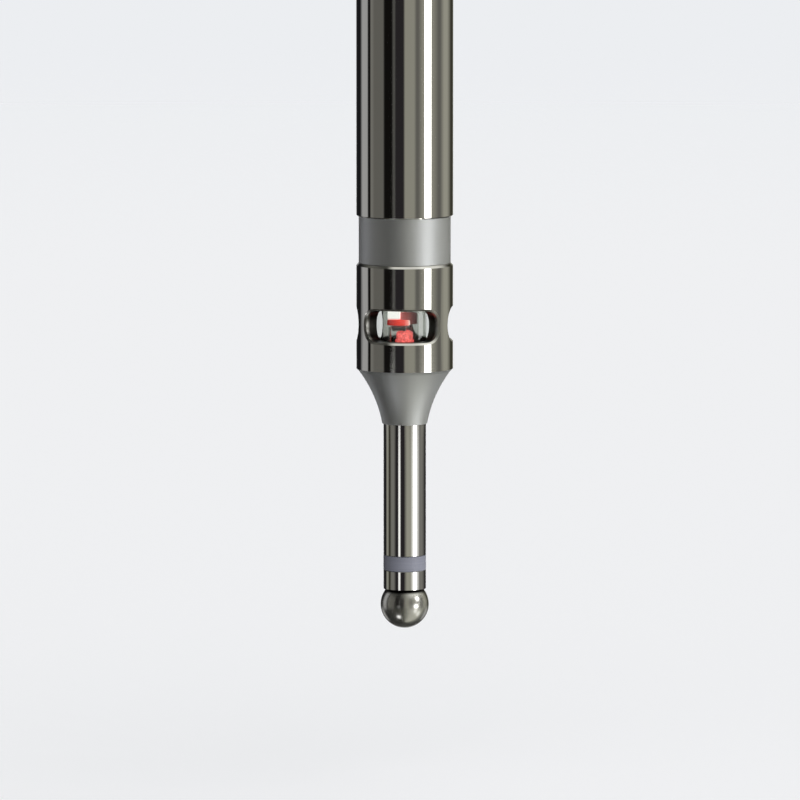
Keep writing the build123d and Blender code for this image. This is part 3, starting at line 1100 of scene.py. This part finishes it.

# %% [markdown]
# A second lamp sits high on the left: a red lens along the foot of a small white block under the upper
# board, with a frosted red part beside it. All three are moulded, so a bevel rounds their edges, and a
# mesh of a few faces is enough. The lens glows, brightest at its right end. The white block and the
# frosted part are no lamps, yet they glow too, as painted light: the block's white glow is a painted
# highlight with painted red light from the lens along its foot, and the frosted part's glow, fading away
# from the lens, is painted light from it. One ramp each paints them.


# %% Upper lamp block
def moulded_block(name, low, high, edge_r, material):
    """A block between two corners in millimetres, with its edges rounded, that rides on the body."""
    mesh = bpy.data.meshes.new(name)
    shape = bmesh.new()
    bmesh.ops.create_cube(shape, size=1.0)
    for vert in shape.verts:
        vert.co = [(a + b) / 2 * MM + c * (b - a) * MM for a, b, c in zip(low, high, vert.co)]
    bmesh.ops.bevel(shape, geom=shape.edges, offset=edge_r * MM, segments=4, profile=0.5, affect="EDGES")
    for face in shape.faces:
        face.smooth = True
    shape.to_mesh(mesh)
    shape.free()
    mesh.set_sharp_from_angle(angle=math.radians(40))
    mesh.materials.append(material)
    piece = bpy.data.objects.new(name, mesh)
    bpy.context.scene.collection.objects.link(piece)
    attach(piece, "housing")


def glowing_plastic(name, axis, low, high, stops, strength):
    """Plastic whose colour is also its glow, along one axis between two places in millimetres: the lens's
    own light, and painted light on the parts beside it.
    """
    material, tree, shader = start_material(name, Roughness=0.4, IOR=1.5, Emission_Strength=strength)
    place = add_node(tree, "ShaderNodeTexCoord")
    along = add_node(tree, "ShaderNodeSeparateXYZ", links={"Vector": place.outputs["Object"]})
    share = add_node(
        tree,
        "ShaderNodeMapRange",
        inputs={"From Min": low * MM, "From Max": high * MM},
        links={"Value": along.outputs[axis]},
    )
    tone = add_node(tree, "ShaderNodeValToRGB", stops=stops, links={"Fac": share.outputs[0]})
    tree.links.new(tone.outputs["Color"], shader.inputs["Base Color"])
    tree.links.new(tone.outputs["Color"], shader.inputs["Emission Color"])
    return material


board_foot_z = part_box("upper_board")[0].z / MM
block_foot_z = board_foot_z - 2.9
lens_foot_z = block_foot_z - 1.2
# painted light: the white block is no lamp; its white glow is a painted highlight, and its reddish foot
# painted red light from the lens
white_plastic = glowing_plastic(
    "moulded_white_plastic_with_painted_glow",
    "Z",
    block_foot_z,
    board_foot_z,
    ((0.0, linear("#e89890")), (0.12, linear("#f0eeee")), (1.0, linear("#f6f5f4"))),
    1.6,
)
red_lens = glowing_plastic(
    "moulded_red_lens",
    "X",
    -2.95,
    1.3,
    (
        (0.0, linear("#7c1412")),
        (0.2, linear("#b81e18")),
        (0.5, linear("#ea3a2c")),
        (0.75, linear("#f45048")),
        (0.9, linear("#ff9890")),
        (1.0, linear("#ffe0da")),
    ),
    1.3,
)
# painted light: the frosted part is no lamp; its glow, fading away from the lens, is painted light from it
frosted_red = glowing_plastic(
    "frosted_red_plastic_with_painted_glow",
    "X",
    -0.6,
    2.6,
    (
        (0.0, linear("#f08a88")),
        (0.35, linear("#c05a58")),
        (0.75, linear("#7a4040")),
        (1.0, linear("#503030")),
    ),
    0.6,
)
moulded_block(
    "upper_white_block_with_painted_glow",
    (-2.85, -3.2, block_foot_z),
    (-0.65, -1.7, board_foot_z),
    0.15,
    white_plastic,
)
moulded_block(
    "upper_lamp_lens",
    (-2.95, -3.3, lens_foot_z),
    (1.3, -2.45, block_foot_z),
    0.3,
    red_lens,
)
moulded_block(
    "upper_frosted_part_with_painted_glow",
    (-0.6, -3.1, block_foot_z - 0.9),
    (2.6, -1.9, board_foot_z - 1.4),
    0.3,
    frosted_red,
)
print("upper lamp", round(board_foot_z - lens_foot_z, 2), "mm high")

# %% [markdown]
# Small metal parts: contacts turned from brass, one of them nickel plated, leads of tinned copper,
# and springs of drawn steel wire. Each differs from the others in its tint and in how it was made:
# turned rings on the brass, a soft plated skin on the nickel, lengthwise drawing marks on wire.


# %% Contacts, leads and springs
def small_metal(name, dark, light, roughness, grain_size):
    """A metal of one roughness, whose tint and bump vary with a noise of the given scale in millimetres.
    """
    material, tree, shader = start_material(name, Metallic=1.0, Roughness=roughness)
    place = add_node(tree, "ShaderNodeTexCoord")
    scale = [1 / (size * MM) for size in grain_size]
    stretched = add_node(
        tree,
        "ShaderNodeMapping",
        inputs={"Scale": scale},
        links={"Vector": place.outputs["Object"]},
    )
    mottle = add_node(
        tree,
        "ShaderNodeTexNoise",
        inputs={"Scale": 1.0, "Detail": 3.0},
        links={"Vector": stretched.outputs["Vector"]},
    )
    tint = add_node(
        tree,
        "ShaderNodeValToRGB",
        stops=((0.35, linear(dark)), (0.65, linear(light))),
        links={"Fac": mottle.outputs["Fac"]},
    )
    bump = add_node(
        tree,
        "ShaderNodeBump",
        inputs={"Strength": 0.3, "Distance": 0.002 * MM},
        links={"Height": mottle.outputs["Fac"]},
    )
    tree.links.new(tint.outputs["Color"], shader.inputs["Base Color"])
    tree.links.new(bump.outputs[0], shader.inputs["Normal"])
    return material


turned_brass = small_metal("turned_brass", "#c9a04c", "#dcb865", 0.22, (2.0, 2.0, 0.12))
nickel_plate = small_metal("nickel_plated_brass", "#c9c4b6", "#d8d4c8", 0.14, (0.8, 0.8, 0.8))
tinned_copper = small_metal("tinned_copper_wire", "#c8c8c6", "#dadad8", 0.24, (0.1, 0.1, 1.0))
spring_wire = small_metal("drawn_spring_wire", "#8e8d89", "#a5a4a0", 0.3, (0.08, 0.08, 0.6))
dress(turned_brass, "lower_contact", "anchor_bush")
dress(nickel_plate, "contact_button")
dress(tinned_copper, "led_leads", "resistor_leads")
dress(spring_wire, "led_contact_spring", "ball_eye", "spring_anchor")
print("small metals", turned_brass.name, nickel_plate.name, tinned_copper.name, spring_wire.name)

# %% [markdown]
# Two springs stretch when the tool moves: the one above the battery, when the body is unscrewed, and the
# one that pulls the ball into its seat. Each is a line through a few hundred points with a round section,
# turned into a mesh, which stands in for its CAD part.


# %% Bent wire
def bent_wire(name, points, wire_d, node):
    """A round wire that stands for a node, whose CAD part it hides."""
    line = bpy.data.curves.new(name, "CURVE")
    line.dimensions = "3D"
    line.bevel_depth = wire_d / 2 * MM
    line.bevel_resolution = 3
    line.use_fill_caps = True
    spline = line.splines.new("POLY")
    spline.points.add(len(points) - 1)
    for point, (x, y, z) in zip(spline.points, points):
        point.co = (x * MM, y * MM, z * MM, 1.0)
    drawn = bpy.data.objects.new(name, line)
    mesh = bpy.data.meshes.new_from_object(drawn)
    bpy.data.objects.remove(drawn)
    mesh.materials.clear()
    mesh.materials.append(spring_wire)
    for polygon in mesh.polygons:
        polygon.use_smooth = True
    piece = bpy.data.objects.new(name, mesh)
    bpy.context.scene.collection.objects.link(piece)
    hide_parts(node)
    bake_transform(piece)


def coil_points(radius, turns, top, foot, flat_turns=0.0, steps_per_turn=28):
    """Points down a coil, with flat_turns of each end pressed flat as on a ground spring."""
    steps = round(turns * steps_per_turn)
    places = []
    for step in range(steps + 1):
        turned = step / steps_per_turn
        share = min(1.0, max(0.0, (turned - flat_turns) / (turns - 2 * flat_turns)))
        angle = -2 * math.pi * turned
        places.append((radius * math.cos(angle), radius * math.sin(angle), top + (foot - top) * share))
    return places


battery_wire_d = 0.6
battery_low, battery_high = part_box("battery")
battery_spring_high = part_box("battery_contact_spring")[1]
battery_coil = coil_points(
    radius=battery_spring_high.x / MM - battery_wire_d / 2,
    turns=5.5,
    top=battery_spring_high.z / MM - battery_wire_d / 2,
    foot=battery_high.z / MM + battery_wire_d / 2,
    flat_turns=0.75,
)
bent_wire(
    "battery_spring",
    battery_coil,
    battery_wire_d,
    "battery_contact_spring",
)
print("battery spring", len(battery_coil), "points")

# %% Tension spring with its hooks
tension_wire_d = 0.6
hook_r = 1.1
hook_to_coil = 1.45
tension_low, tension_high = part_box("tension_spring")
tension_r = tension_high.x / MM - tension_wire_d / 2
upper_hook_z = tension_high.z / MM - tension_wire_d / 2 - hook_r
lower_hook_z = tension_low.z / MM + tension_wire_d / 2 + hook_r
quarter = [math.radians(90 * step / 10) for step in range(11)]
half = [math.radians(180 * step / 20) for step in range(21)]
upper_hook = [(0, -hook_r * math.cos(a), upper_hook_z + hook_r * math.sin(a)) for a in half]
lower_hook = [(-hook_r * math.cos(a), 0, lower_hook_z - hook_r * math.sin(a)) for a in half]
upper_bend = [
    (
        tension_r * math.sin(a),
        tension_r * math.cos(a) - (tension_r - hook_r) * (1 - math.sin(a)),
        upper_hook_z - hook_to_coil * math.sin(a),
    )
    for a in quarter[1:]
]
lower_bend = [
    (
        tension_r * math.cos(a) - (tension_r + hook_r) * (1 - math.cos(a)),
        -tension_r * math.sin(2 * a) * 0.8,
        lower_hook_z + hook_to_coil * (1 - math.sin(a)),
    )
    for a in quarter[1:-1]
]
tension_coil = coil_points(
    radius=tension_r,
    turns=12,
    top=upper_hook_z - hook_to_coil,
    foot=lower_hook_z + hook_to_coil,
)
tension_line = [*upper_hook, *upper_bend, *tension_coil[1:], *lower_bend, *lower_hook]
bent_wire(
    "ball_tension_spring",
    tension_line,
    tension_wire_d,
    "tension_spring",
)
print("tension spring", len(tension_line), "points")

# %% [markdown]
# The two round boards are glass fibre under green lacquer. The resistor between them is a ceramic
# rod under grey lacquer, with pressed end caps, and the battery is a steel can in a plain sleeve.

# %% Boards, resistor and battery
board_lacquer, tree, shader = start_material("lacquered_circuit_board", Roughness=0.3, IOR=1.5)
place = add_node(tree, "ShaderNodeTexCoord")
weave = add_node(
    tree,
    "ShaderNodeTexNoise",
    inputs={"Scale": 1 / (0.3 * MM), "Detail": 2.0},
    links={"Vector": place.outputs["Object"]},
)
board_tone = add_node(
    tree,
    "ShaderNodeValToRGB",
    stops=((0.3, linear("#12452a")), (0.7, linear("#1c5c38"))),
    links={"Fac": weave.outputs["Fac"]},
)
tree.links.new(board_tone.outputs["Color"], shader.inputs["Base Color"])
dress(board_lacquer, "upper_board", "lower_board")

grey_lacquer, tree, shader = start_material("grey_lacquered_ceramic", Roughness=0.35, IOR=1.5)
place = add_node(tree, "ShaderNodeTexCoord")
speckle = add_node(
    tree,
    "ShaderNodeTexNoise",
    inputs={"Scale": 1 / (0.2 * MM), "Detail": 2.0},
    links={"Vector": place.outputs["Object"]},
)
lacquer_tone = add_node(
    tree,
    "ShaderNodeValToRGB",
    stops=((0.3, linear("#8a8c89")), (0.7, linear("#9c9e9b"))),
    links={"Fac": speckle.outputs["Fac"]},
)
tree.links.new(lacquer_tone.outputs["Color"], shader.inputs["Base Color"])
dress(grey_lacquer, "resistor")

battery_sleeve, tree, shader = start_material("shrunk_plastic_sleeve", Roughness=0.32, IOR=1.5)
place = add_node(tree, "ShaderNodeTexCoord")
battery_level = add_node(tree, "ShaderNodeSeparateXYZ", links={"Vector": place.outputs["Object"]})
can_end = 1.2 * MM
sleeve_share = add_node(
    tree,
    "ShaderNodeMapRange",
    inputs={"From Min": battery_low.z, "From Max": battery_high.z},
    links={"Value": battery_level.outputs["Z"]},
)
end_share = can_end / (battery_high.z - battery_low.z)
sleeve_tone = add_node(
    tree,
    "ShaderNodeValToRGB",
    stops=(
        (0.0, linear("#c2c2bf")),
        (end_share, linear("#b4b4b1")),
        (end_share + 0.004, linear("#1e2430")),
        (1 - end_share, linear("#232a38")),
        (1 - end_share + 0.004, linear("#b4b4b1")),
    ),
    links={"Fac": sleeve_share.outputs[0]},
)
tree.links.new(sleeve_tone.outputs["Color"], shader.inputs["Base Color"])
dress(battery_sleeve, "battery")
print("battery", round((battery_high.z - battery_low.z) / MM, 1), "mm long")
